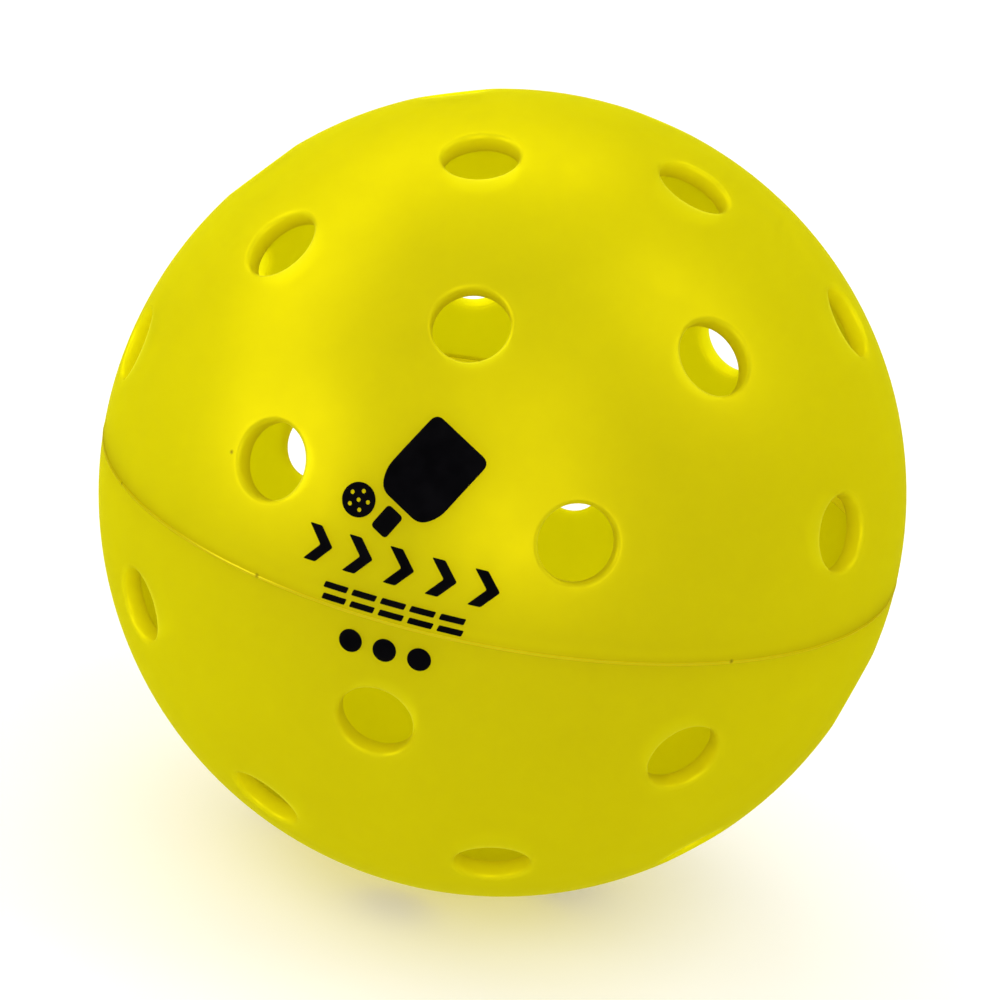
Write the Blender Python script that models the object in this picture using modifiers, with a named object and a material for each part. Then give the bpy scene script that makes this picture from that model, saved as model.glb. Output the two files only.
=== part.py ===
"""Pickleball ball: two drilled half shells, joined round the equator by a welded seam.

Metres, +Z up. The origin is the centre of the ball, and +Z is the pole axis, square to the
seam. Both halves are the same moulding: the lower one is turned over, and turned on about
the pole axis by half the pitch of its holes.
"""

import math

import bmesh
import bpy
from mathutils import Matrix

OBJECT_NAME = "pickleball_ball"

# ---- driving dimensions ----
BALL_DIAMETER = 0.074
WALL = 0.0018
HOLE_DIAMETER = 0.0067
SEAM_HEIGHT = 0.0008  # height of the fused strip between the two rims
SEAM_RIDGE = 0.00005  # how far the fused strip stands proud of the ball
BEAD_HEIGHT = 0.0020  # height of the bead of squeezed-out plastic on the inside
BEAD_DEPTH = 0.0005
CLEARANCE = 0.0003  # gap between neighbouring pieces

# rows of holes in one half: degrees above the seam, holes in the row, and first hole in degrees
HOLE_PITCH = 45.0
HOLE_ROWS = [
    {"latitude": 68.4, "count": 4, "start": 0.0},
    {"latitude": 41.2, "count": 8, "start": HOLE_PITCH / 2},
    {"latitude": 15.3, "count": 8, "start": 0.0},
]

# ---- fineness of the facets ----
SEGMENTS_AROUND = 48
SEGMENTS_POLE_TO_RIM = 12
HOLE_SEGMENTS = 18

# ---- finishes ----
SHELL_YELLOW = (0.79, 0.70, 0.01, 1.0)
SEAM_YELLOW = (0.85, 0.77, 0.03, 1.0)
SHELL_ROUGHNESS = 0.42
SEAM_ROUGHNESS = 0.35

# ---- worked out from the dimensions above ----
OUTER_RADIUS = BALL_DIAMETER / 2
INNER_RADIUS = OUTER_RADIUS - WALL
MIDDLE_RADIUS = OUTER_RADIUS - WALL / 2
RIM_HEIGHT = SEAM_HEIGHT / 2 + CLEARANCE  # of each half's rim above the seam's middle plane
CUTTER_LENGTH = 4 * WALL


def clear_scene():
    for thing in list(bpy.data.objects):
        bpy.data.objects.remove(thing)


def new_collection(name):
    collection = bpy.data.collections.new(name)
    bpy.context.scene.collection.children.link(collection)
    return collection


def plastic(name, colour, roughness):
    """A moulded plastic finish."""
    material = bpy.data.materials.new(name)
    material.use_nodes = True
    shader = material.node_tree.nodes["Principled BSDF"]
    shader.inputs["Base Color"].default_value = colour
    shader.inputs["Roughness"].default_value = roughness
    shader.inputs["Metallic"].default_value = 0.0
    return material


def arc(radius, start, end, steps):
    """Points (distance from the axis, height) on a circle round the centre of the ball."""
    angles = [start + (end - start) * i / steps for i in range(steps + 1)]
    return [(radius * math.cos(a), radius * math.sin(a)) for a in angles]


def turned_piece(name, profile, closed, collection, material):
    """Turn a profile in the XZ plane round the pole axis.

    The profile runs down its outer side and comes back up its inner side. An open one starts
    and ends on the axis.
    """
    mesh = bpy.data.meshes.new(name)
    corners = [(x, 0.0, z) for x, z in profile]
    edges = [(i, i + 1) for i in range(len(profile) - 1)]
    if closed:
        edges.append((len(profile) - 1, 0))
    mesh.from_pydata(corners, edges, [])
    mesh.materials.append(material)
    piece = bpy.data.objects.new(name, mesh)
    collection.objects.link(piece)
    screw = piece.modifiers.new("turn", "SCREW")
    screw.steps = SEGMENTS_AROUND
    screw.render_steps = SEGMENTS_AROUND
    screw.use_merge_vertices = True
    screw.merge_threshold = 0.00001
    screw.use_smooth_shade = True
    return piece


def half_shell_profile():
    """From the outer pole down to the rim, across it, and back up to the inner pole."""
    top = math.pi / 2
    outer = arc(OUTER_RADIUS, top, math.asin(RIM_HEIGHT / OUTER_RADIUS), SEGMENTS_POLE_TO_RIM)
    inner = arc(INNER_RADIUS, math.asin(RIM_HEIGHT / INNER_RADIUS), top, SEGMENTS_POLE_TO_RIM)
    outer[0] = (0.0, OUTER_RADIUS)
    inner[-1] = (0.0, INNER_RADIUS)
    return outer + inner


def seam_profile():
    """A T lying on its side: a neck between the two rims, and a bead along the inner walls."""
    neck = SEAM_HEIGHT / 2
    bead = BEAD_HEIGHT / 2
    ridge_radius = OUTER_RADIUS + SEAM_RIDGE
    bead_outer = INNER_RADIUS - CLEARANCE
    bead_inner = bead_outer - BEAD_DEPTH
    upper_side = [
        (bead_inner, bead / 2),
        (bead_outer, bead),
        (bead_outer, neck),
        (OUTER_RADIUS, neck),
        (ridge_radius, neck / 2),
    ]
    lower_side = [(x, -z) for x, z in reversed(upper_side)]
    return upper_side + lower_side


def hole_cutters(name, collection, frame):
    """One rod through the wall for each hole of a half, all in one object."""
    rods = bmesh.new()
    for row in HOLE_ROWS:
        tilt = Matrix.Rotation(math.radians(90.0 - row["latitude"]), 4, "Y")
        for i in range(row["count"]):
            longitude = row["start"] + 360.0 * i / row["count"]
            turn = Matrix.Rotation(math.radians(longitude), 4, "Z")
            bmesh.ops.create_cone(
                rods,
                cap_ends=True,
                segments=HOLE_SEGMENTS,
                radius1=HOLE_DIAMETER / 2,
                radius2=HOLE_DIAMETER / 2,
                depth=CUTTER_LENGTH,
                matrix=turn @ tilt @ Matrix.Translation((0.0, 0.0, MIDDLE_RADIUS)),
            )
    mesh = bpy.data.meshes.new(name)
    rods.to_mesh(mesh)
    rods.free()
    cutter = bpy.data.objects.new(name, mesh)
    collection.objects.link(cutter)
    cutter.parent = frame
    cutter.hide_render = True
    cutter.display_type = "WIRE"
    return cutter


def drilled_half(name, flip, twist, parts, cutters, material):
    """One half of the ball, placed by a frame that turns it over and on about the poles."""
    frame = bpy.data.objects.new(name + "_frame", None)
    parts.objects.link(frame)
    frame.rotation_euler = (flip, 0.0, twist)
    shell = turned_piece(name, half_shell_profile(), False, parts, material)
    shell.parent = frame
    drill = shell.modifiers.new("holes", "BOOLEAN")
    drill.operation = "DIFFERENCE"
    drill.solver = "EXACT"
    drill.object = hole_cutters(name + "_holes", cutters, frame)
    return shell


def main():
    clear_scene()
    parts = new_collection(OBJECT_NAME)
    cutters = new_collection("cutters")
    yellow = plastic("shell_plastic", SHELL_YELLOW, SHELL_ROUGHNESS)
    drilled_half("upper_shell", 0.0, 0.0, parts, cutters, yellow)
    lower_yellow = plastic("lower_shell_plastic", SHELL_YELLOW, SHELL_ROUGHNESS)
    half_pitch = math.radians(HOLE_PITCH / 2)
    drilled_half("lower_shell", math.pi, half_pitch, parts, cutters, lower_yellow)
    fused = plastic("seam_plastic", SEAM_YELLOW, SEAM_ROUGHNESS)
    turned_piece("weld_seam", seam_profile(), True, parts, fused)


main()
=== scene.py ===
"""Looks of the pickleball ball: fine drilled shells, the welded seam, the print, and a plain studio."""

import math

import bpy
import numpy as np
from mathutils import Matrix, Vector
from mathutils.geometry import delaunay_2d_cdt


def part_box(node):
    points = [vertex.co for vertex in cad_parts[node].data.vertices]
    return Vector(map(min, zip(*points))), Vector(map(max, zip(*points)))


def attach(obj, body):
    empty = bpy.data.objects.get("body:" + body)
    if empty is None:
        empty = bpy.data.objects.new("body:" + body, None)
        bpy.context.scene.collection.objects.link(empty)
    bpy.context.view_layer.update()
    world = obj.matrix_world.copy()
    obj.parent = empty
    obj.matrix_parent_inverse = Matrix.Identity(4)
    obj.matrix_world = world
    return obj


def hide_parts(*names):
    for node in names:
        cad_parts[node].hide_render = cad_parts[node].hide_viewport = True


MM = 0.001

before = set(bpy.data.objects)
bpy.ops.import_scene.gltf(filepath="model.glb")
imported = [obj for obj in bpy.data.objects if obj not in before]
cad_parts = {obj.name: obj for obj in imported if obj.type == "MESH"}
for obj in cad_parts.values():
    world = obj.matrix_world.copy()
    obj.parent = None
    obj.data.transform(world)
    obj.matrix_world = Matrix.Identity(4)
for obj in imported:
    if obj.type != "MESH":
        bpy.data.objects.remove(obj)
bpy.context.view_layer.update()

# ---- sizes read from the frame ----
BALL_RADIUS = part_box("upper_shell")[1].z
SEAM_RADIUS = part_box("weld_seam")[1].x
FLOOR_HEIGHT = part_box("lower_shell")[0].z

# ---- the half shell, in metres and degrees ----
WALL = 1.8 * MM
HOLE_RADIUS = 3.35 * MM
OUTER_FILLET = 0.42 * MM
INNER_FILLET = 0.3 * MM
HOLE_PITCH = 45.0
HOLE_ROWS = [
    {"latitude": 68.4, "count": 4, "start": 0.0},
    {"latitude": 41.2, "count": 8, "start": HOLE_PITCH / 2},
    {"latitude": 15.3, "count": 8, "start": 0.0},
]
INNER_RADIUS = BALL_RADIUS - WALL

# ---- fineness of the shell meshes ----
MESH_STEP = 1.2 * MM
HOLE_SEGMENTS = 64
FILLET_STEPS = 6
WALL_STEPS = 3
RIM_SEGMENTS = 240
COLLARS = [  # rings of points round each hole, with their gap to its edge in mesh steps
    {"gap": 0.30, "twist": 0.5, "count": HOLE_SEGMENTS},
    {"gap": 0.75, "twist": 0.0, "count": HOLE_SEGMENTS * 3 // 4},
]
COLLAR_CLEARANCE = 0.65  # mesh steps from the last collar to the other points
RIM_CLEARANCE = 0.6  # mesh steps from the rim to the other points
SHARP_ANGLE = math.radians(35.0)

# ---- painted glow at the edges of the holes: a mesh attribute that rises to 1 on a hole's wall and sets the glow and the walls' darker base ----
EDGE_ATTRIBUTE = "edge"
HALO_WIDTH = 1.3 * MM  # of the faint painted glow on the skin round a hole
HALO_SHARE = 0.06  # the attribute, and so the painted glow, where that skin meets the hole's rounded edge

# ---- the welded seam: the rims' slopes make a groove, which the weld fills from the inside ----
JOINT_GAP = 0.01 * MM
RIM_HALF_GAP = 0.03 * MM  # between a rim's outer edge and the seam's middle plane
RIM_LAND = 0.08 * MM  # flat part of a rim, before it slopes away
GROOVE_HALF_WIDTH = 0.4 * MM  # at the inner wall
GROOVE_END = 8.5  # latitude above which the inner wall knows nothing of the groove
BEAD_DEPTH = 0.12 * MM
BEAD_POINTS = 13
RIDGE_HALF_WIDTH = 0.13 * MM
RIDGE_FOOT = 0.014 * MM  # height of the ridge's edges over the shells
RIDGE_LOW = 0.018 * MM  # height of its crest where it hardly shows
RIDGE_SWELL = 0.6  # power that makes a proud stretch fuller in its middle
RIDGE_POINTS = 9
RIDGE_STRETCHES = [  # where it stands proud: longitude, half length in degrees, share of full height
    {"longitude": -92.0, "reach": 13.0, "share": 1.0},
    {"longitude": -32.0, "reach": 15.0, "share": 0.5},
    {"longitude": 35.0, "reach": 20.0, "share": 0.7},
    {"longitude": 110.0, "reach": 14.0, "share": 0.9},
    {"longitude": 178.0, "reach": 17.0, "share": 0.5},
    {"longitude": 222.0, "reach": 11.0, "share": 0.8},
]
SEAM_SEGMENTS = 720

# ---- the print: plain shapes in black ink, laid out in millimetres around its centre ----
PRINT_LATITUDE = 13.0
PRINT_LONGITUDE = -67.5
INK_TOP = 0.030 * MM
INK_UNDERSIDE = 0.008 * MM
INK_EDGE_STEP = 0.35
INK_GRID_STEP = 0.7
INK_SLIVER = 1e-5  # twice the area of a triangle too thin to count

# ---- small flaws in the moulding: latitude, longitude, radius in mm ----
SPECKS = [(14.0, -96.7, 0.26), (0.1, -87.3, 0.28), (0.1, -20.0, 0.26), (0.0, -119.7, 0.22)]

# ---- finishes ----
SHELL_YELLOW = (0.80, 0.672, 0.003, 1.0)
SHELL_YELLOW_DEEP = (0.77, 0.635, 0.003, 1.0)
# darker yellow for the holes' walls, a shaded copy of the plastic under their painted glow
WALL_YELLOW = (0.66, 0.555, 0.002, 1.0)
# brighter than the shells' yellow: a painted highlight along the weld
SEAM_YELLOW = (0.97, 0.87, 0.02, 1.0)
SEAM_YELLOW_DEEP = (0.93, 0.82, 0.015, 1.0)
SPECK_BROWN = (0.30, 0.22, 0.01, 1.0)
INK_BLACK = (0.0009, 0.0008, 0.0012, 1.0)
INK_BLACK_WORN = (0.0022, 0.002, 0.0026, 1.0)
NO_LIGHT = (0.0, 0.0, 0.0, 1.0)
SHELL_ROUGHNESS = (0.36, 0.46)
SEAM_ROUGHNESS = (0.32, 0.42)
INK_ROUGHNESS = (0.45, 0.6)
SCATTER_SCALE = 0.024  # metres: light fills the whole ball, so the far walls stay bright
SCATTER_RADIUS = (1.0, 1.0, 0.2)
TINTED_GLOSS = 0.33  # share of gloss that takes the plastic's own yellow
CLEAR_GLOSS = 0.0  # an untinted gloss would whiten the limb
GRAZING_TINT = (0.4, 0.355, 0.02, 1.0)  # of the tinted gloss, seen at a low angle
INK_GLOSS = 0.01
EDGE_GLOW = 0.16  # painted glow on the holes' edges and walls, standing in for light piped through the wall
RIDGE_GLOW = 0.15  # painted glow on the weld, which lifts the shade at the foot of its ridge
JOINT_GLOW = 0.5  # painted glow on the joint's hidden faces, for light that would cross the weld
WORLD_STRENGTH = 0.79
FLOOR_GLOW = 0.15

# ---- unevenness: noise with features of about 1/scale metres, and the heights of bumps ----
MOTTLING = {"scale": 55.0, "detail": 4.0}
UNEVEN_SHEEN = {"scale": 260.0, "detail": 5.0}
ORANGE_PEEL = {"scale": 700.0, "detail": 3.0}
PEEL_HEIGHT = 0.012 * MM
INK_WEAR = {"scale": 400.0, "detail": 4.0}
INK_SHEEN = {"scale": 900.0, "detail": 3.0}
INK_GRAIN = {"scale": 2500.0, "detail": 2.0}
INK_GRAIN_HEIGHT = 0.005 * MM

# ---- the photograph's view of the ball ----
CAMERA_AZIMUTH = 33.67
CAMERA_ELEVATION = 20.3
CAMERA_ROLL = 11.25
CAMERA_DISTANCE = 10.2 * BALL_RADIUS
CAMERA_LENS = 147.7
AIM_RIGHT = -0.23 * MM
AIM_UP = -0.67 * MM


def direction(latitude, longitude):
    """Unit vector at a latitude and longitude in degrees."""
    lat, lon = math.radians(latitude), math.radians(longitude)
    return np.array([math.cos(lat) * math.cos(lon), math.cos(lat) * math.sin(lon), math.sin(lat)])


def hole_axes():
    """Directions of the holes of a half shell with its pole up."""
    axes = []
    for row in HOLE_ROWS:
        for i in range(row["count"]):
            axes.append(direction(row["latitude"], row["start"] + 360.0 * i / row["count"]))
    return axes


def across(axis):
    """Two unit vectors square to an axis and to each other, right-handed with it."""
    side = np.cross([0.0, 0.0, 1.0], axis)
    side /= np.linalg.norm(side)
    return side, np.cross(axis, side)


def ring(axis, angle, count, twist=0.0):
    """Directions on a circle of an angular radius around an axis."""
    u, v = across(axis)
    turns = 2 * math.pi * (np.arange(count) + twist) / count
    flat = np.outer(np.cos(turns), u) + np.outer(np.sin(turns), v)
    return math.cos(angle) * axis + math.sin(angle) * flat


def spiral(count):
    """Directions spread evenly over the upper half of a sphere."""
    i = np.arange(count) + 0.5
    z = 1.0 - i / count
    turns = math.pi * (3.0 - math.sqrt(5.0)) * i
    flat = np.sqrt(1.0 - z * z)
    return np.column_stack([flat * np.cos(turns), flat * np.sin(turns), z])


def arc(centre, radius, start, end, steps):
    """Points (distance from the hole's axis, height along it) on an arc."""
    turns = np.linspace(start, end, steps + 1)
    return [(centre[0] + radius * math.cos(t), centre[1] + radius * math.sin(t)) for t in turns]


def hole_profile():
    """The hole's edge from the outside of the ball to the inside, rounded at both ends."""
    out_x = HOLE_RADIUS + OUTER_FILLET
    out_z = math.sqrt((BALL_RADIUS - OUTER_FILLET) ** 2 - out_x**2)
    in_x = HOLE_RADIUS + INNER_FILLET
    in_z = math.sqrt((INNER_RADIUS + INNER_FILLET) ** 2 - in_x**2)
    outer = arc((out_x, out_z), OUTER_FILLET, math.atan2(out_z, out_x), math.pi, FILLET_STEPS)
    inner = arc((in_x, in_z), INNER_FILLET, math.pi, math.pi + math.atan2(in_z, in_x), FILLET_STEPS)
    steps = [(i + 1) / (WALL_STEPS + 1) for i in range(WALL_STEPS)]
    wall = [(HOLE_RADIUS, out_z + (in_z - out_z) * s) for s in steps]
    return outer + wall + inner


def new_mesh_object(name, points, faces, slots, materials, nearness=None, turn=None):
    """A smooth piece with sharp rims; slots says which material each face takes."""
    mesh = bpy.data.meshes.new(name)
    mesh.from_pydata([tuple(p) for p in points], [], faces)
    if turn is not None:
        mesh.transform(turn)
    mesh.shade_smooth()
    mesh.set_sharp_from_angle(angle=SHARP_ANGLE)
    for material in materials:
        mesh.materials.append(material)
    mesh.polygons.foreach_set("material_index", slots)
    if nearness is not None:
        mesh.attributes.new(EDGE_ATTRIBUTE, "FLOAT", "POINT").data.foreach_set("value", nearness)
    mesh.validate()
    piece = bpy.data.objects.new(name, mesh)
    bpy.context.scene.collection.objects.link(piece)
    return piece


def points_by_groove(points):
    """Directions of the inner wall's points, moved up where the groove at the rim needs room."""
    rim = math.asin(RIM_HALF_GAP / BALL_RADIUS)
    rise = math.asin(GROOVE_HALF_WIDTH / INNER_RADIUS) - rim
    end = math.radians(GROOVE_END)
    latitude = np.arcsin(points[:, 2])
    near = np.clip((end - latitude) / (end - rim), 0.0, 1.0)
    latitude = latitude + rise * near**2
    flat = np.cos(latitude) / np.hypot(points[:, 0], points[:, 1])
    return np.column_stack([points[:, 0] * flat, points[:, 1] * flat, np.sin(latitude)])


def skin_points(axes, outer_angle):
    """Directions of a skin's points: the holes' edges, the rim, the collars, then the rest."""
    step = MESH_STEP / BALL_RADIUS
    edges = [ring(axis, outer_angle, HOLE_SEGMENTS) for axis in axes]
    latitude = math.asin(RIM_HALF_GAP / BALL_RADIUS)
    turns = 2 * math.pi * np.arange(RIM_SEGMENTS) / RIM_SEGMENTS
    flat = [math.cos(latitude) * np.cos(turns), math.cos(latitude) * np.sin(turns)]
    rim = np.column_stack([*flat, np.full(RIM_SEGMENTS, math.sin(latitude))])
    collars = [
        ring(axis, outer_angle + step * collar["gap"], collar["count"], collar["twist"])
        for axis in axes
        for collar in COLLARS
    ]
    clear = math.cos(outer_angle + step * (COLLARS[-1]["gap"] + COLLAR_CLEARANCE))
    scattered = spiral(int(2 * math.pi / (step**2 * math.sqrt(3) / 2)))
    keep = scattered[:, 2] > math.sin(latitude) + RIM_CLEARANCE * step
    for axis in axes:
        keep &= scattered @ axis < clear
    return np.vstack([*edges, rim, *collars, scattered[keep]])


def skin_triangles(points, loops, hole_of):
    """Delaunay triangles between a skin's points, leaving the holes open."""
    bounds = [(loop[i], loop[(i + 1) % len(loop)]) for loop in loops for i in range(len(loop))]
    flattened = [Vector((p[0] / (1 + p[2]), p[1] / (1 + p[2]))) for p in points]
    _, _, triangles, sources, _, _ = delaunay_2d_cdt(flattened, bounds, [], 0, 1e-9)
    index = [s[0] for s in sources]
    skin = []
    for t in triangles:
        a, b, c = (index[i] for i in t)
        if not hole_of[a] == hole_of[b] == hole_of[c] or hole_of[a] < 0:
            skin.append((a, b, c))
    return skin


def edge_nearness(points, on_edge, axes, outer_angle, wall_rows):
    """The edge attribute of the skin outside and inside, the holes' walls and the rim's land; it sets
    the painted glow.
    """
    bright = outer_angle + HALO_WIDTH / BALL_RADIUS
    nearest = np.arccos(np.clip((points @ np.array(axes).T).max(axis=1), -1.0, 1.0))
    halo = HALO_SHARE * np.clip((bright - nearest) / (bright - outer_angle), 0.0, 1.0) ** 2
    steps = [((k + 1) / FILLET_STEPS) ** 2 for k in range(FILLET_STEPS)]
    shares = [HALO_SHARE + (1.0 - HALO_SHARE) * step for step in steps]
    shares += [1.0] * (wall_rows - FILLET_STEPS)
    walls = np.tile(np.repeat(shares, HOLE_SEGMENTS), len(axes))
    return np.concatenate([halo, np.where(on_edge, 1.0, halo), walls, np.zeros(RIM_SEGMENTS)])


def shell_half(name, turn, materials):
    """A drilled half shell as one closed mesh, with its pole up and then turned into place.

    Its outside is a triangulation of points spread over the half sphere, with a ring of
    points at each hole and at the rim. Its inside is the same triangulation on the inner
    sphere, and each hole's rounded wall joins the two.
    """
    axes = hole_axes()
    profile = hole_profile()
    outer_angle = math.atan2(profile[0][0], profile[0][1])
    inner_angle = math.atan2(profile[-1][0], profile[-1][1])
    points = skin_points(axes, outer_angle)
    total = len(points)
    edges = [range(h * HOLE_SEGMENTS, (h + 1) * HOLE_SEGMENTS) for h in range(len(axes))]
    rim = range(edges[-1].stop, edges[-1].stop + RIM_SEGMENTS)
    hole_of = np.full(total, -1)
    outside = points * BALL_RADIUS
    inside = points_by_groove(points) * INNER_RADIUS
    for h, (axis, edge) in enumerate(zip(axes, edges)):
        hole_of[edge.start : edge.stop] = h
        inside[edge.start : edge.stop] = INNER_RADIUS * ring(axis, inner_angle, HOLE_SEGMENTS)
    skin = skin_triangles(points, [*edges, rim], hole_of)

    faces = skin + [(c + total, b + total, a + total) for a, b, c in skin]
    all_points = [outside, inside]
    made = 2 * total
    for axis, edge in zip(axes, edges):
        rows = [edge]
        for x, z in profile[1:-1]:
            all_points.append(math.hypot(x, z) * ring(axis, math.atan2(x, z), HOLE_SEGMENTS))
            rows.append(range(made, made + HOLE_SEGMENTS))
            made += HOLE_SEGMENTS
        rows.append([i + total for i in edge])
        for upper, lower in zip(rows, rows[1:]):
            for i in range(HOLE_SEGMENTS):
                j = (i + 1) % HOLE_SEGMENTS
                faces.append((upper[i], upper[j], lower[j], lower[i]))

    slots = [0] * len(faces)
    land = BALL_RADIUS - RIM_LAND
    turns = 2 * math.pi * np.arange(RIM_SEGMENTS) / RIM_SEGMENTS
    heights = np.full(RIM_SEGMENTS, RIM_HALF_GAP)
    all_points.append(np.column_stack([land * np.cos(turns), land * np.sin(turns), heights]))
    for i in range(RIM_SEGMENTS):
        j = (i + 1) % RIM_SEGMENTS
        faces.append((rim[i], made + i, made + j, rim[j]))
        faces.append((made + i, rim[i] + total, rim[j] + total, made + j))
        slots += [1, 1]
    nearness = edge_nearness(points, hole_of >= 0, axes, outer_angle, len(profile) - 2)
    return new_mesh_object(name, np.vstack(all_points), faces, slots, materials, nearness, turn)


def ridge_height(longitude):
    """Height of the seam's crest over the shells."""
    full = SEAM_RADIUS - BALL_RADIUS - RIDGE_LOW
    share = 0.0
    for stretch in RIDGE_STRETCHES:
        away = abs((longitude - stretch["longitude"] + 180.0) % 360.0 - 180.0) / stretch["reach"]
        if away < 1.0:
            share = max(share, stretch["share"] * (0.5 + 0.5 * math.cos(math.pi * away)) ** RIDGE_SWELL)
    return RIDGE_LOW + full * share


def weld_section(crest):
    """The weld's cross-section (distance from the pole axis, height), and its joint edges."""
    neck = RIM_HALF_GAP - JOINT_GAP
    land = BALL_RADIUS - RIM_LAND - JOINT_GAP
    wedge_half = GROOVE_HALF_WIDTH - 2 * JOINT_GAP
    wedge_radius = math.sqrt(INNER_RADIUS**2 - GROOVE_HALF_WIDTH**2)
    underside = BALL_RADIUS + RIDGE_FOOT / 2
    section = []
    for s in np.linspace(1.0, -1.0, RIDGE_POINTS):
        height = RIDGE_FOOT + (crest - RIDGE_FOOT) * (0.5 + 0.5 * math.cos(math.pi * s))
        section.append((BALL_RADIUS + height, s * RIDGE_HALF_WIDTH))
    section += [(underside, -RIDGE_HALF_WIDTH), (underside, -neck), (land, -neck)]
    for t in np.linspace(-math.pi / 2, math.pi / 2, BEAD_POINTS):
        section.append((wedge_radius - BEAD_DEPTH * math.cos(t), wedge_half * math.sin(t)))
    section += [(land, neck), (underside, neck), (underside, RIDGE_HALF_WIDTH)]
    last = len(section) - 4
    return section, [RIDGE_POINTS + 1, RIDGE_POINTS + 2, last, last + 1]


def weld_ring(name, materials):
    """The fused strip between the halves: a low ridge outside, a thin neck and a wedge inside."""
    points, faces, slots = [], [], []
    for i in range(SEAM_SEGMENTS):
        longitude = 360.0 * i / SEAM_SEGMENTS
        turn = math.radians(longitude)
        section, joint = weld_section(ridge_height(longitude))
        points += [(x * math.cos(turn), x * math.sin(turn), z) for x, z in section]
    count = len(section)
    for i in range(SEAM_SEGMENTS):
        here, there = i * count, (i + 1) % SEAM_SEGMENTS * count
        for j in range(count):
            k = (j + 1) % count
            faces.append((here + j, here + k, there + k, there + j))
            slots.append(1 if j in joint else 0)
    return new_mesh_object(name, points, faces, slots, materials)


# ---- the print ----
def circle(x, y, radius, count=36):
    """A round outline."""
    turns = [2 * math.pi * i / count for i in range(count)]
    return [(x + radius * math.cos(t), y + radius * math.sin(t)) for t in turns]


def rounded(corners, radius):
    """An outline with its corners rounded off, each by a quadratic curve."""
    outline = []
    for i, corner in enumerate(corners):
        here = Vector(corner)
        for_start = (Vector(corners[i - 1]) - here).normalized() * radius
        for_end = (Vector(corners[(i + 1) % len(corners)]) - here).normalized() * radius
        for k in range(6):
            t = k / 5
            point = here + for_start * (1 - t) ** 2 + for_end * t**2
            outline.append((point.x, point.y))
    return outline


def turned_outline(outline, degrees, x, y):
    """An outline turned about its own origin and moved to a place in the print."""
    c, s = math.cos(math.radians(degrees)), math.sin(math.radians(degrees))
    return [(x + c * px - s * py, y + s * px + c * py) for px, py in outline]


def emblem():
    """A paddle and a ball."""
    head = rounded([(-3.1, 0.0), (-2.2, -1.6), (2.2, -1.6), (3.1, 0.0), (3.1, 6.2), (-3.1, 6.2)], 0.85)
    handle = rounded([(-0.85, -2.1), (-0.85, -4.5), (0.85, -4.5), (0.85, -2.1)], 0.4)
    paddle = [[turned_outline(shape, -28.0, -0.5, 3.0)] for shape in (head, handle)]
    openings = [circle(x, y, 0.19, 12) for x, y in [(0.0, 0.0), *circle(0.0, 0.0, 0.85, 5)]]
    ball = [circle(0.0, 0.0, 1.5), *openings]
    ball = [turned_outline(shape, 0.0, -4.9, 1.2) for shape in ball]
    return [*paddle, ball]


def chevrons():
    """A row of arrowheads."""
    width, rise, stroke = 2.5, 1.6, 1.15
    pitch, left, level = 3.7, -8.7, -3.4
    outer = [(0.0, rise), (stroke, rise), (width, 0.0), (stroke, -rise), (0.0, -rise)]
    shape = [*outer, (width - stroke, 0.0)]
    return [[turned_outline(rounded(shape, 0.16), 0.0, left + x * pitch, level)] for x in range(5)]


def dashes():
    """Two rows of short bars."""
    pitch, left, levels = 2.6, -5.2, (-6.6, -7.65)
    bar = rounded([(-1.0, 0.28), (-1.15, -0.28), (1.0, -0.28), (1.15, 0.28)], 0.12)
    return [[turned_outline(bar, 0.0, left + x * pitch, y)] for x in range(5) for y in levels]


def dots():
    """A row of three round dots."""
    return [[circle(x, -10.9, 1.05, 30)] for x in (-3.1, 0.0, 3.1)]


def on_print(x, y, height):
    """A place in the print, in mm from its centre, as a point over the ball."""
    centre = direction(PRINT_LATITUDE, PRINT_LONGITUDE)
    east, north = across(centre)
    reach = max(math.hypot(x, y), 1e-9)
    angle = reach * MM / BALL_RADIUS
    sideways = (x * east + y * north) / reach
    return (BALL_RADIUS + height) * (math.cos(angle) * centre + math.sin(angle) * sideways)


def inside_loops(x, y, loops):
    """Whether a point lies inside an odd number of outlines."""
    odd = False
    for loop in loops:
        for (x0, y0), (x1, y1) in zip(loop, loop[1:] + loop[:1]):
            if (y0 > y) != (y1 > y) and x < x0 + (x1 - x0) * (y - y0) / (y1 - y0):
                odd = not odd
    return odd


def finer(loop):
    """An outline with points put in along its long sides."""
    points = []
    for (x0, y0), (x1, y1) in zip(loop, loop[1:] + loop[:1]):
        parts = max(1, math.ceil(math.hypot(x1 - x0, y1 - y0) / INK_EDGE_STEP))
        points += [(x0 + (x1 - x0) * i / parts, y0 + (y1 - y0) * i / parts) for i in range(parts)]
    return points


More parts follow.
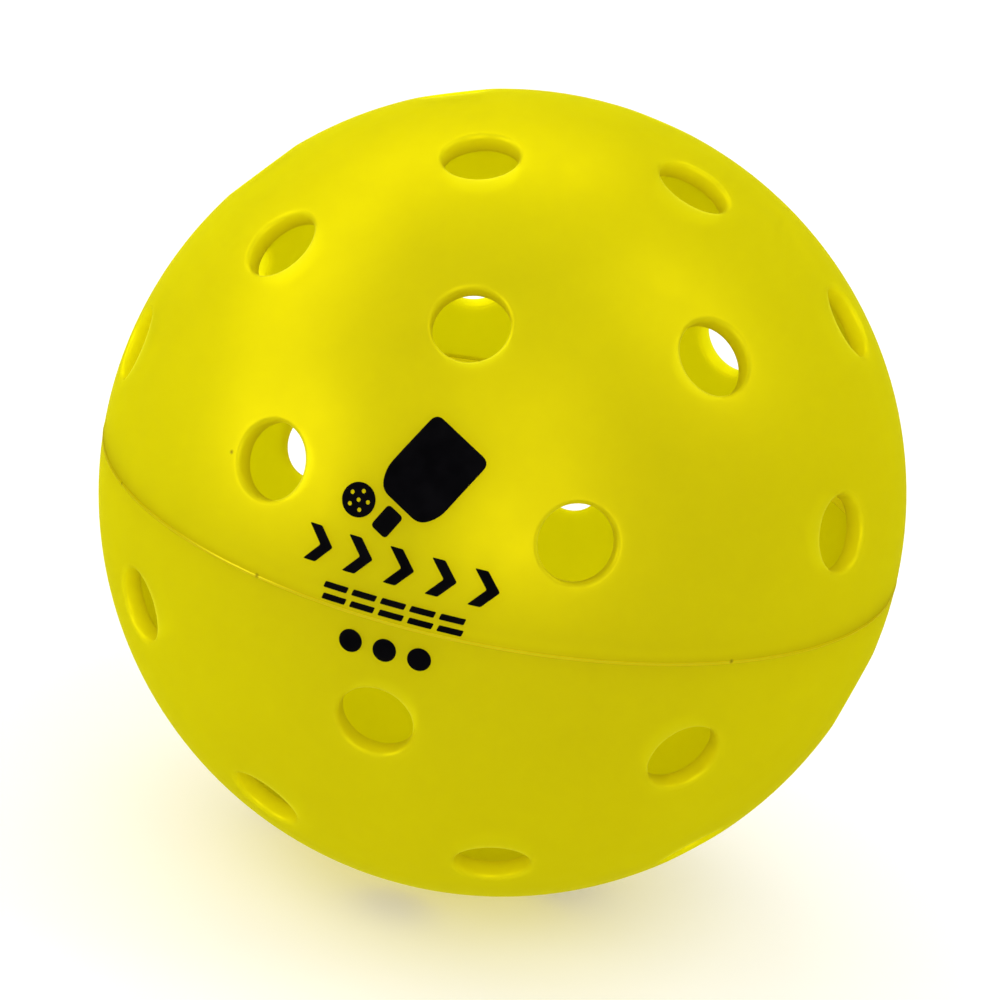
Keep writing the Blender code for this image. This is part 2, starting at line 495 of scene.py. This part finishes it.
def ink_film(name, shapes, material):
    """A thin closed film of ink for each shape, following the ball."""
    points, faces = [], []
    for shape in shapes:
        loops = [finer(loop) for loop in shape]
        flat = [p for loop in loops for p in loop]
        bounds, start = [], 0
        for loop in loops:
            bounds += [(start + i, start + (i + 1) % len(loop)) for i in range(len(loop))]
            start += len(loop)
        xs, ys = [p[0] for p in shape[0]], [p[1] for p in shape[0]]
        for gx in np.arange(min(xs), max(xs), INK_GRID_STEP):
            for gy in np.arange(min(ys), max(ys), INK_GRID_STEP):
                clear = min(math.hypot(gx - px, gy - py) for px, py in flat[:start])
                if clear > INK_GRID_STEP / 2 and inside_loops(gx, gy, loops):
                    flat.append((gx, gy))
        spots = [Vector(p) for p in flat]
        verts, _, triangles, _, _, _ = delaunay_2d_cdt(spots, bounds, [], 0, 1e-7)
        kept = []
        for t in triangles:
            a, b, c = (verts[i] for i in t)
            middle = (a + b + c) / 3
            sliver = abs((b - a).cross(c - a)) < INK_SLIVER
            if not sliver and inside_loops(middle.x, middle.y, loops):
                kept.append(tuple(t))
        base, count = len(points), len(verts)
        points += [on_print(v.x, v.y, INK_TOP) for v in verts]
        points += [on_print(v.x, v.y, INK_UNDERSIDE) for v in verts]
        sides = {(a, b) for t in kept for a, b in zip(t, t[1:] + t[:1])}
        for a, b, c in kept:
            faces.append((base + a, base + b, base + c))
            faces.append((base + count + c, base + count + b, base + count + a))
        for a, b in sorted(sides):
            if (b, a) not in sides:
                faces.append((base + b, base + a, base + count + a, base + count + b))
    return new_mesh_object(name, points, faces, [0] * len(faces), [material])


# ---- materials ----
def principled(name):
    """A new material, its node tree and its shader."""
    material = bpy.data.materials.new(name)
    material.use_nodes = True
    return material, material.node_tree, material.node_tree.nodes["Principled BSDF"]


def noise(tree, scale, detail):
    """Noise in the row frame, with features of about 1/scale metres."""
    place = tree.nodes.new("ShaderNodeTexCoord")
    texture = tree.nodes.new("ShaderNodeTexNoise")
    texture.inputs["Scale"].default_value = scale
    texture.inputs["Detail"].default_value = detail
    tree.links.new(place.outputs["Object"], texture.inputs["Vector"])
    return texture.outputs["Fac"]


def spread(tree, value, low, high, to_low, to_high):
    """A value's range from low to high, stretched to another range."""
    node = tree.nodes.new("ShaderNodeMapRange")
    for name, number in zip(("From Min", "From Max", "To Min", "To Max"), (low, high, to_low, to_high)):
        node.inputs[name].default_value = number
    tree.links.new(value, node.inputs["Value"])
    return node.outputs["Result"]


def blend(tree, factor, one, other):
    """A mix of two colours, each a socket or a plain colour."""
    node = tree.nodes.new("ShaderNodeMix")
    node.data_type = "RGBA"
    tree.links.new(factor, node.inputs["Factor"])
    for name, colour in (("A", one), ("B", other)):
        socket = next(i for i in node.inputs if i.name == name and i.type == "RGBA")
        if isinstance(colour, tuple):
            socket.default_value = colour
        else:
            tree.links.new(colour, socket)
    return next(o for o in node.outputs if o.type == "RGBA")


def speck_factor(tree):
    """1 in the middle of a speck, 0 away from all of them."""
    place = tree.nodes.new("ShaderNodeTexCoord")
    found = None
    for latitude, longitude, size in SPECKS:
        gap = tree.nodes.new("ShaderNodeVectorMath")
        gap.operation = "DISTANCE"
        tree.links.new(place.outputs["Object"], gap.inputs[0])
        gap.inputs[1].default_value = tuple(BALL_RADIUS * direction(latitude, longitude))
        near = spread(tree, gap.outputs["Value"], 0.2 * size * MM, size * MM, 1.0, 0.0)
        if found is not None:
            most = tree.nodes.new("ShaderNodeMath")
            most.operation = "MAXIMUM"
            tree.links.new(found, most.inputs[0])
            tree.links.new(near, most.inputs[1])
            near = most.outputs["Value"]
        found = near
    return found


def grain(tree, shader, texture, strength, height):
    """Fine unevenness of a surface, as a bump."""
    bump = tree.nodes.new("ShaderNodeBump")
    bump.inputs["Strength"].default_value = strength
    bump.inputs["Distance"].default_value = height
    tree.links.new(texture, bump.inputs["Height"])
    tree.links.new(bump.outputs["Normal"], shader.inputs["Normal"])


def finish_plastic(tree, shader, colour, deeper, roughness):
    """What the shells and the weld share: translucency, yellow gloss, mottling and orange peel."""
    mottled = spread(tree, noise(tree, **MOTTLING), 0.35, 0.65, 0.0, 1.0)
    tint = blend(tree, mottled, colour, deeper)
    tint = blend(tree, speck_factor(tree), tint, SPECK_BROWN)
    rough = spread(tree, noise(tree, **UNEVEN_SHEEN), 0.3, 0.7, *roughness)
    tree.links.new(rough, shader.inputs["Roughness"])
    grain(tree, shader, noise(tree, **ORANGE_PEEL), strength=0.25, height=PEEL_HEIGHT)
    shader.inputs["IOR"].default_value = 1.5
    shader.inputs["Specular IOR Level"].default_value = CLEAR_GLOSS
    shader.inputs["Specular Tint"].default_value = GRAZING_TINT
    shader.inputs["Metallic"].default_value = TINTED_GLOSS
    shader.inputs["Subsurface Weight"].default_value = 1.0
    shader.inputs["Subsurface Radius"].default_value = SCATTER_RADIUS
    shader.inputs["Subsurface Scale"].default_value = SCATTER_SCALE
    return tint


def shell_plastic():
    """Translucent satin polyethylene, with a painted glow at the edges of the holes over a darker base
    on their walls.
    """
    material, tree, shader = principled("shell_plastic_fine")
    tint = finish_plastic(tree, shader, SHELL_YELLOW, SHELL_YELLOW_DEEP, SHELL_ROUGHNESS)
    edge = tree.nodes.new("ShaderNodeAttribute")
    edge.attribute_name = EDGE_ATTRIBUTE
    on_wall = spread(tree, edge.outputs["Fac"], HALO_SHARE, 1.0, 0.0, 1.0)
    tree.links.new(blend(tree, on_wall, tint, WALL_YELLOW), shader.inputs["Base Color"])
    glow = blend(tree, edge.outputs["Fac"], NO_LIGHT, SHELL_YELLOW)
    tree.links.new(glow, shader.inputs["Emission Color"])
    shader.inputs["Emission Strength"].default_value = EDGE_GLOW
    material.cycles.emission_sampling = "NONE"
    return material


def seam_plastic():
    """The same plastic with a brighter base, a painted highlight along the weld, and a painted glow
    that lifts the shade at the ridge's foot.
    """
    material, tree, shader = principled("seam_plastic_fine")
    tint = finish_plastic(tree, shader, SEAM_YELLOW, SEAM_YELLOW_DEEP, SEAM_ROUGHNESS)
    tree.links.new(tint, shader.inputs["Base Color"])
    shader.inputs["Emission Color"].default_value = SHELL_YELLOW
    shader.inputs["Emission Strength"].default_value = RIDGE_GLOW
    material.cycles.emission_sampling = "NONE"
    return material


def print_ink():
    """Satin black ink, a little uneven."""
    material, tree, shader = principled("print_ink_fine")
    uneven = spread(tree, noise(tree, **INK_WEAR), 0.35, 0.65, 0.0, 1.0)
    tint = blend(tree, uneven, INK_BLACK, INK_BLACK_WORN)
    tree.links.new(tint, shader.inputs["Base Color"])
    rough = spread(tree, noise(tree, **INK_SHEEN), 0.3, 0.7, *INK_ROUGHNESS)
    tree.links.new(rough, shader.inputs["Roughness"])
    grain(tree, shader, noise(tree, **INK_GRAIN), strength=0.3, height=INK_GRAIN_HEIGHT)
    shader.inputs["Specular IOR Level"].default_value = INK_GLOSS
    return material


def joint_glow():
    """The hidden faces of the weld joint.

    Light wanders through the real wall across the weld. Here each piece scatters its light on
    its own, so the faces that meet in the joint give back what would have come across.
    """
    material, _, shader = principled("joint_glow")
    shader.inputs["Base Color"].default_value = NO_LIGHT
    shader.inputs["Specular IOR Level"].default_value = 0.0
    shader.inputs["Emission Color"].default_value = SHELL_YELLOW
    shader.inputs["Emission Strength"].default_value = JOINT_GLOW
    material.cycles.emission_sampling = "NONE"
    return material


def floor_white():
    """A plain white floor, helped a little so that it is as pale as the world behind it."""
    material, _, shader = principled("floor_white")
    shader.inputs["Base Color"].default_value = (0.9, 0.9, 0.9, 1.0)
    shader.inputs["Roughness"].default_value = 0.9
    shader.inputs["Emission Color"].default_value = (1.0, 1.0, 1.0, 1.0)
    shader.inputs["Emission Strength"].default_value = FLOOR_GLOW
    return material


# ---- studio ----
def camera_frame():
    """The camera's axes in the row frame: right, up and back."""
    az, el = math.radians(CAMERA_AZIMUTH), math.radians(CAMERA_ELEVATION)
    back = Vector((math.sin(az) * math.cos(el), -math.cos(az) * math.cos(el), math.sin(el)))
    right = Vector((0.0, 0.0, 1.0)).cross(back).normalized()
    up = back.cross(right)
    roll = Matrix.Rotation(math.radians(CAMERA_ROLL), 3, back)
    return roll @ right, roll @ up, back


def add_camera():
    """The camera at the photograph's viewing angle."""
    right, up, back = camera_frame()
    data = bpy.data.cameras.new("camera")
    data.lens = CAMERA_LENS
    data.sensor_width = 36.0
    data.clip_start = 0.01
    data.clip_end = 10.0
    camera = bpy.data.objects.new("camera", data)
    bpy.context.scene.collection.objects.link(camera)
    place = CAMERA_DISTANCE * back
    aim = AIM_RIGHT * right + AIM_UP * up
    toward = (place - aim).normalized()
    side = up.cross(toward).normalized()
    turned = Matrix((side, toward.cross(side), toward)).transposed().to_4x4()
    camera.matrix_world = Matrix.Translation(place) @ turned
    bpy.context.scene.camera = camera


def softbox(name, toward, along, distance, length, width, watts):
    """A soft light that shines at the ball from a direction, its long side along another.

    Both directions are given in the camera's axes.
    """
    right, up, back = camera_frame()
    data = bpy.data.lights.new(name, "AREA")
    data.shape = "RECTANGLE"
    data.size = length
    data.size_y = width
    data.energy = watts
    lamp = bpy.data.objects.new(name, data)
    bpy.context.scene.collection.objects.link(lamp)
    aim = (toward[0] * right + toward[1] * up + toward[2] * back).normalized()
    long_side = along[0] * right + along[1] * up + along[2] * back
    short_side = aim.cross(long_side).normalized()
    turned = Matrix((short_side.cross(aim), short_side, aim)).transposed().to_4x4()
    lamp.matrix_world = Matrix.Translation(distance * aim) @ turned


def add_studio():
    """An even white world, six softboxes and the floor, which lights nothing."""
    world = bpy.data.worlds.new("studio")
    bpy.context.scene.world = world
    world.use_nodes = True
    world.node_tree.nodes["Background"].inputs["Color"].default_value = (1.0, 1.0, 1.0, 1.0)
    world.node_tree.nodes["Background"].inputs["Strength"].default_value = WORLD_STRENGTH
    across_view = (1, 0, 0)
    up_view = (0, 1, 0)
    softbox("softbox_front", (0.1, 0.3, 1.0), across_view, 1.2, length=0.8, width=0.8, watts=2.0)
    softbox("softbox_low", (0.1, -0.25, 1.0), across_view, 1.0, length=0.6, width=0.3, watts=1.6)
    softbox("softbox_side", (-1.0, 0.15, 0.5), up_view, 1.0, length=0.6, width=0.6, watts=3.1)
    place, along = (-0.05, 0.96, -0.25), (0.51, 0.05, 0.08)
    softbox("softbox_top", place, along, 0.6, length=0.5, width=0.25, watts=0.6)
    place, along = (-0.66, 0.71, 0.06), (-0.37, -0.44, 0.56)
    softbox("softbox_left", place, along, 0.6, length=0.42, width=0.3, watts=0.6)
    place, along = (0.70, 0.60, 0.30), (0.41, -0.61, 0.06)
    softbox("softbox_right", place, along, 0.6, length=0.45, width=0.25, watts=0.54)
    bpy.ops.mesh.primitive_plane_add(size=6.0, location=(0.0, 0.0, FLOOR_HEIGHT))
    floor = bpy.context.object
    floor.name = "floor"
    floor.data.materials.append(floor_white())
    floor.visible_diffuse = False
    floor.visible_glossy = False
    scene = bpy.context.scene
    scene.view_settings.view_transform = "Standard"
    scene.view_settings.look = "None"


def main():
    """Builds the camera, the studio and every piece, hangs each piece on the root body and hides the
    CAD part it stands for.
    """
    add_camera()
    add_studio()
    plastic = shell_plastic()
    over = Matrix.Rotation(math.radians(HOLE_PITCH / 2), 4, "Z") @ Matrix.Rotation(math.pi, 4, "X")
    glow = joint_glow()
    upper = shell_half("upper_shell_fine", Matrix.Identity(4), [plastic, glow])
    lower = shell_half("lower_shell_fine", over, [plastic, glow])
    seam = weld_ring("weld_seam_fine", [seam_plastic(), glow])
    ink = print_ink()
    for piece, node, slot in (
        (upper, "upper_shell", "shell_plastic"),
        (lower, "lower_shell", "shell_plastic"),
        (seam, "weld_seam", "seam_plastic"),
    ):
        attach(piece, "root")
        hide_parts(node)
    for name, shapes in (
        ("print_emblem", emblem()),
        ("print_chevrons", chevrons()),
        ("print_dashes", dashes()),
        ("print_dots", dots()),
    ):
        film = ink_film(name, shapes, ink)
        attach(film, "root")


main()
